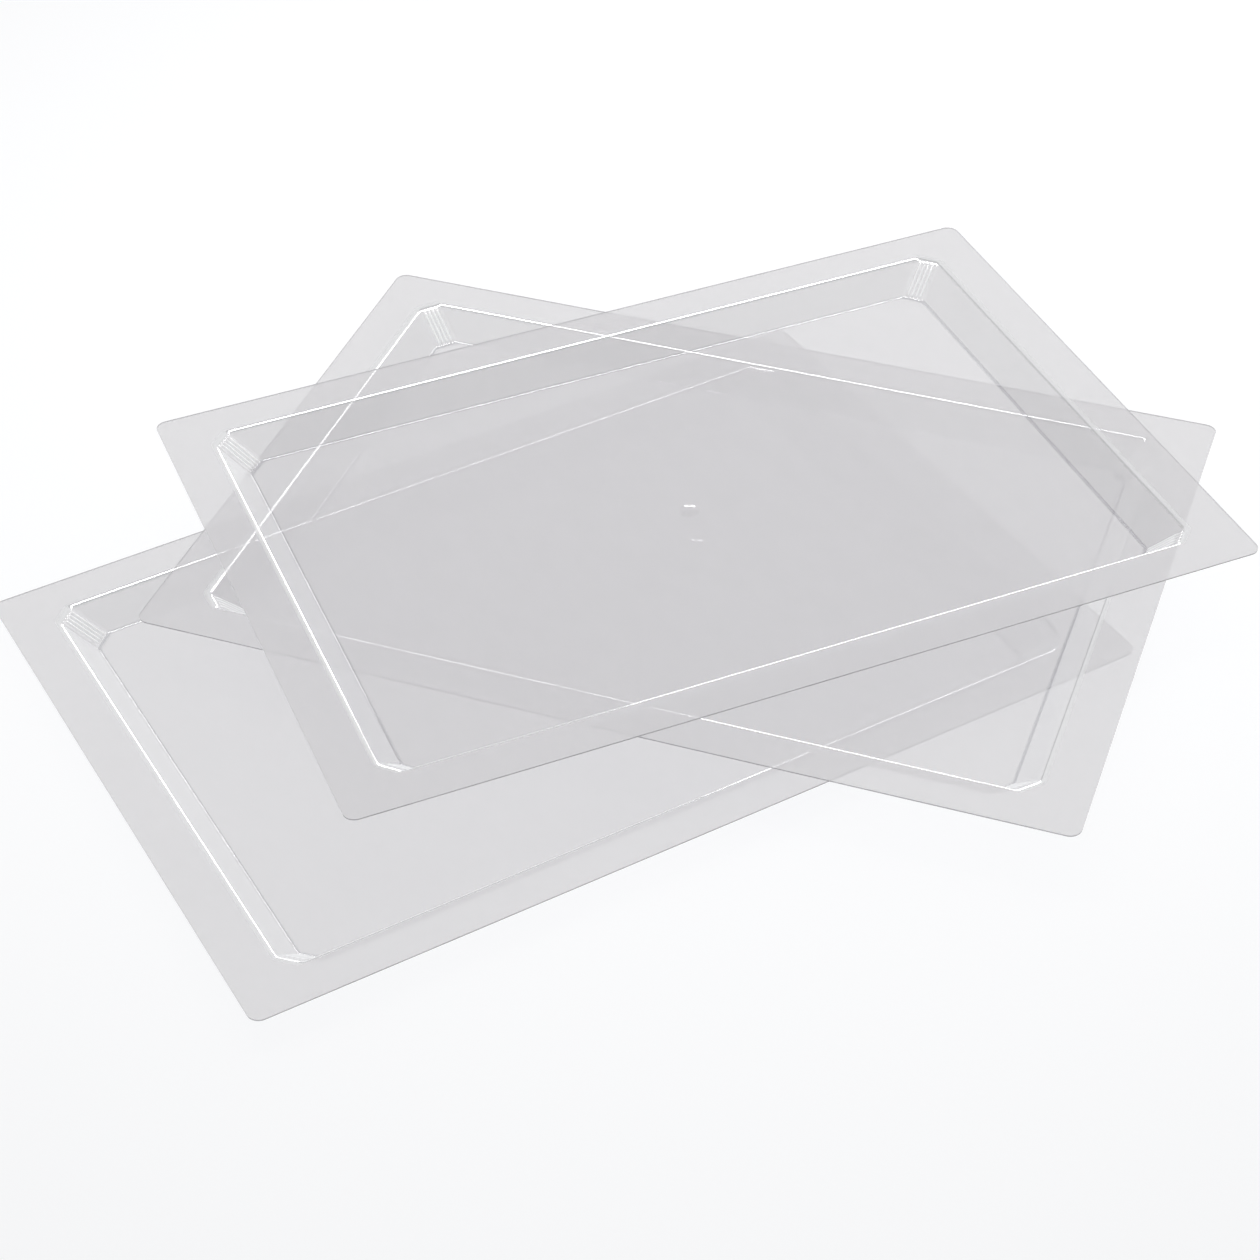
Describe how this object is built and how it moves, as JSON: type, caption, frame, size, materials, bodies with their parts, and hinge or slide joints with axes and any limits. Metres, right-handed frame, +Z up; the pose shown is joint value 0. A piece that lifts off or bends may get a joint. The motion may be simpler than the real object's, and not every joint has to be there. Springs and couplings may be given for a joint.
{
  "type": "nursery tray set",
  "caption": "Clear vacuum-formed shallow trays with wide flat flanges and fluted corners, stacked criss-cross, open side up.",
  "frame": {"origin": "on the surface that the stack stands on, at the centre of the whole stack's footprint", "axes": "+Z up, out of the open side of the trays; +X along the bottom tray's length, +Y across it"},
  "size_m": [0.7034, 0.6596, 0.0604],
  "materials": {
    "tray_bottom": "clear, glossy",
    "tray_middle": "clear, glossy",
    "tray_top": "clear, glossy"
  },
  "bodies": {
    "bottom_tray": {"tray_bottom": "tray_bottom"},
    "middle_tray": {"tray_middle": "tray_middle"},
    "top_tray": {"tray_top": "tray_top"}
  },
  "joints": [
    {"name": "middle_tray_lift", "type": "slide", "parent": "bottom_tray", "child": "middle_tray", "axis": [0, 0, 1], "range_m": [0, 0.12]},
    {"name": "top_tray_lift", "type": "slide", "parent": "middle_tray", "child": "top_tray", "axis": [0, 0, 1], "range_m": [0, 0.12]}
  ]
}
